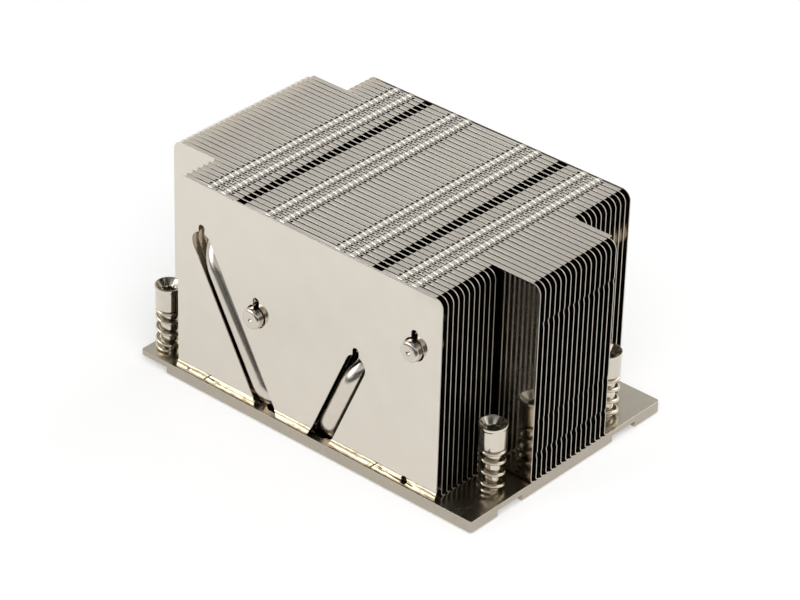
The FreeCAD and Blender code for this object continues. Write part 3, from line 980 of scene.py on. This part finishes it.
class HEATSINK_OT_clips(bpy.types.Operator):
    """Blanks the four retaining clips"""

    bl_idname = "heatsink.clips"
    bl_label = "Blank the clips"

    def execute(self, context):
        for place in PLACES:
            low, high = cad_box("clip_" + place)
            gap = math.degrees(math.asin(CLIP_MOUTH / 2 / CLIP_RADIUS))
            throat = math.degrees(math.asin(CLIP_MOUTH / 2 / CLIP_BORE))
            outline = arc((0, 0), CLIP_RADIUS, gap, 360 - gap, 40)
            outline += arc((0, 0), CLIP_BORE, 360 - throat, throat, 24)
            clip = flat_sheet(outline, [])
            points = [(v.co.x, v.co.z, z) for z in (high.z, low.z) for v in clip.verts]
            faces, cuts = sheet_faces(clip)
            clip.free()
            mesh = listed_mesh("blanked_clip_" + place, points, faces + cuts)
            mesh.transform(Matrix.Translation(axis_of(place)))
            make_piece("blanked_clip_" + place, mesh, "retainer_" + place, "clips", ["clip_" + place], 40)
        return {"FINISHED"}


# Stage

# The studio is dim on the side that faces the front right corner, with a soft box to its left and right,
# and in reflections the paper is painted dark to the front, as painted shade.
DIM_SIDE = (0.68, -0.73, 0.1)
SIDE_BOXES = (0.76, 0.65, 0.0)
PAPER_FRONT = (0.25, -0.97, 0.0)
FLOOR_SIDE = 6.0

# Lamps: name, place in metres, width in metres, power in watts and whether metal mirrors them.
LAMPS = (
    ("key", (0.5, -0.5, 0.9), 1.1, 7, False),
    ("fill", (-0.66, -0.88, 0.5), 0.9, 3, True),
    ("rim", (0.2, 0.9, 0.7), 0.9, 3, True),
)
LAMP_AIM = (0, 0, 0.03)

# The camera of the photo, fitted to the edges in it: place in millimetres, angles in degrees and lens.
CAMERA_PLACE = (535.524, -624.653, 541.606)
CAMERA_ANGLES = (40.6175, 31.9940, 1.6352)
CAMERA_LENS = 164.12


def seen_rays(tree):
    """The light path node, and an output that is one where the eye looks straight, by mirror or through."""
    rays = add_node(tree, "ShaderNodeLightPath")
    seen = reckon(tree, "ADD", rays.outputs["Is Camera Ray"], rays.outputs["Is Glossy Ray"])
    return rays, reckon(tree, "ADD", seen, rays.outputs["Is Transmission Ray"], use_clamp=True)


def floor_material():
    """Matt white paper sweep: even and pale, lifted to white for the eye and for reflections. In reflections
    it is painted dark to the front, a painted shade where the light would fall off."""
    material, tree = new_material("matt_white_paper")
    # Faint clouds in the paper are some 60 mm wide.
    paper = add_node(
        tree, "ShaderNodeTexNoise", {"Scale": 1.0, "Detail": 2.0},
        {"Vector": pattern_place(tree, (60, 60, 60))})
    tint = add_node(
        tree, "ShaderNodeMix", {6: linear("EDEDED"), 7: linear("E9E9E9")}, {0: paper.outputs["Fac"]},
        data_type="RGBA")
    shader = add_node(tree, "ShaderNodeBsdfDiffuse", links={"Color": tint.outputs[2]})
    rays, seen = seen_rays(tree)
    lift = add_node(tree, "ShaderNodeMath", {1: 0.26}, {0: seen}, operation="MULTIPLY")
    whiter = add_node(
        tree, "ShaderNodeMath", {1: 0.08}, {0: rays.outputs["Is Camera Ray"], 2: lift.outputs[0]},
        operation="MULTIPLY_ADD")
    glow = add_node(tree, "ShaderNodeEmission", {"Color": (1, 1, 1, 1)}, {"Strength": whiter.outputs[0]})
    total = add_node(tree, "ShaderNodeAddShader", links={0: shader.outputs[0], 1: glow.outputs[0]})
    place = add_node(tree, "ShaderNodeTexCoord")
    towards = add_node(
        tree, "ShaderNodeVectorMath", {1: PAPER_FRONT}, {0: place.outputs["Object"]}, operation="DOT_PRODUCT")
    # Painted shade in reflections: the paper is white up to 104 mm from the middle and painted dark by 135 mm.
    painted_fall_off = map_range(tree, towards.outputs["Value"], 104 * MM, 135 * MM, 0.0, 0.88)
    dim = reckon(tree, "MULTIPLY", painted_fall_off, rays.outputs["Is Glossy Ray"])
    shade = add_node(tree, "ShaderNodeEmission", {"Color": (0, 0, 0, 1)})
    surface = add_node(
        tree, "ShaderNodeMixShader", links={0: dim, 1: total.outputs[0], 2: shade.outputs[0]})
    add_node(tree, "ShaderNodeOutputMaterial", links={"Surface": surface.outputs[0]})
    return material


def studio_world():
    """Studio surroundings: white round the horizon, a dark ceiling and a dim room on one side, with a soft
    box at the zenith and one on each side. The eye and reflections see them, the rest gets an even fill."""
    world = bpy.data.worlds.new("studio")
    world.use_nodes = True
    tree = world.node_tree
    tree.nodes.clear()
    rays, seen = seen_rays(tree)
    direction = add_node(tree, "ShaderNodeTexCoord").outputs["Generated"]
    height = add_node(tree, "ShaderNodeSeparateXYZ", links={"Vector": direction}).outputs["Z"]
    walls = map_range(tree, height, 0.12, 0.5, 1.0, 0.62)
    ceiling = map_range(tree, height, 0.58, 0.8, 1.0, 0.15)
    overhead = reckon(tree, "MULTIPLY", walls, ceiling)
    top_box = map_range(tree, height, 0.93, 0.98, 0.0, 0.5)
    across = add_node(
        tree, "ShaderNodeVectorMath", {1: SIDE_BOXES}, {0: direction}, operation="DOT_PRODUCT")
    either_way = add_node(tree, "ShaderNodeMath", links={0: across.outputs["Value"]}, operation="ABSOLUTE")
    box_width = map_range(tree, either_way.outputs[0], 0.6, 0.75, 0.0, 1.0)
    box_height = map_range(tree, height, 0.25, 0.4, 0.0, 0.35)
    side_boxes = reckon(tree, "MULTIPLY", box_width, box_height)
    boxes = reckon(tree, "ADD", top_box, side_boxes)
    towards = add_node(
        tree, "ShaderNodeVectorMath", {1: DIM_SIDE}, {0: direction}, operation="DOT_PRODUCT")
    on_side = map_range(tree, towards.outputs["Value"], 0.5, 0.8, 0.0, 0.95)
    low_down = map_range(tree, height, 0.22, 0.32, 1.0, 0.0)
    dim = reckon(tree, "MULTIPLY", on_side, low_down)
    dim_side = add_node(tree, "ShaderNodeMath", {0: 1.0}, {1: dim}, operation="SUBTRACT")
    room = reckon(tree, "MULTIPLY", overhead, dim_side.outputs[0])
    above = reckon(tree, "ADD", room, boxes)
    over_floor = add_node(tree, "ShaderNodeMath", {1: 0.0}, {0: height}, operation="GREATER_THAN")
    shown = add_node(
        tree, "ShaderNodeMix", {2: 1.0}, {0: over_floor.outputs[0], 3: above}, data_type="FLOAT")
    strength = add_node(
        tree, "ShaderNodeMix", {2: 0.35}, {0: seen, 3: shown.outputs[0]}, data_type="FLOAT")
    sky = add_node(tree, "ShaderNodeBackground", {"Color": (1, 1, 1, 1)}, {"Strength": strength.outputs[0]})
    add_node(tree, "ShaderNodeOutputWorld", links={"Surface": sky.outputs[0]})
    bpy.context.scene.world = world


def soft_box(name, place, size, power, mirrored):
    """A round area lamp that looks at the object. It may be kept out of reflections."""
    lamp = bpy.data.lights.new(name, "AREA")
    lamp.shape = "DISK"
    lamp.size = size
    lamp.energy = power
    light = bpy.data.objects.new(name, lamp)
    light.location = place
    light.visible_glossy = mirrored
    light.rotation_euler = (Vector(LAMP_AIM) - Vector(place)).to_track_quat("-Z", "Y").to_euler()
    bpy.context.scene.collection.objects.link(light)


class HEATSINK_OT_stage(bpy.types.Operator):
    """Sets the floor, the lights and the camera"""

    bl_idname = "heatsink.stage"
    bl_label = "Set the stage"

    def execute(self, context):
        half = FLOOR_SIDE / 2
        mesh = listed_mesh(
            "floor", [(-half, -half, 0), (half, -half, 0), (half, half, 0), (-half, half, 0)], [(0, 1, 2, 3)])
        mesh.materials.append(floor_material())
        floor = bpy.data.objects.new("floor", mesh)
        context.scene.collection.objects.link(floor)
        studio_world()
        for lamp in LAMPS:
            soft_box(*lamp)
        camera = bpy.data.cameras.new("camera")
        camera.sensor_width = 36
        camera.lens = CAMERA_LENS
        camera.clip_start = 0.05
        view = bpy.data.objects.new("camera", camera)
        context.scene.collection.objects.link(view)
        azimuth, elevation, roll = (math.radians(a) for a in CAMERA_ANGLES)
        turn = Matrix.Rotation(azimuth, 4, "Z") @ Matrix.Rotation(math.pi / 2 - elevation, 4, "X")
        turn = turn @ Matrix.Rotation(roll, 4, "Z")
        view.matrix_world = Matrix.Translation(Vector(CAMERA_PLACE) * MM) @ turn
        context.scene.camera = view
        context.scene.view_settings.view_transform = "Standard"
        return {"FINISHED"}


OPERATORS = (
    HEATSINK_OT_base,
    HEATSINK_OT_fins,
    HEATSINK_OT_pipes,
    HEATSINK_OT_screws,
    HEATSINK_OT_springs,
    HEATSINK_OT_clips,
    HEATSINK_OT_stage,
)


class HEATSINK_PT_panel(bpy.types.Panel):
    """Lists the heatsink's sizes, colours and operators"""

    bl_label = "Heatsink"
    bl_idname = "HEATSINK_PT_panel"
    bl_space_type = "VIEW_3D"
    bl_region_type = "UI"
    bl_category = "Heatsink"

    def draw(self, context):
        for name in HeatsinkSettings.__annotations__:
            self.layout.prop(context.scene.heatsink, name)
        for operator in OPERATORS:
            self.layout.operator(operator.bl_idname)


CLASSES = (HeatsinkSettings,) + OPERATORS + (HEATSINK_PT_panel,)


def register():
    for cls in CLASSES:
        bpy.utils.register_class(cls)
    bpy.types.Scene.heatsink = bpy.props.PointerProperty(type=HeatsinkSettings)


def unregister():
    del bpy.types.Scene.heatsink
    for cls in reversed(CLASSES):
        bpy.utils.unregister_class(cls)


def main():
    """Builds the pieces and the stage."""
    register()
    bpy.ops.heatsink.base()
    bpy.ops.heatsink.fins()
    bpy.ops.heatsink.pipes()
    bpy.ops.heatsink.screws()
    bpy.ops.heatsink.springs()
    bpy.ops.heatsink.clips()
    bpy.ops.heatsink.stage()
    bpy.context.view_layer.update()


if __name__ == "__main__":
    main()
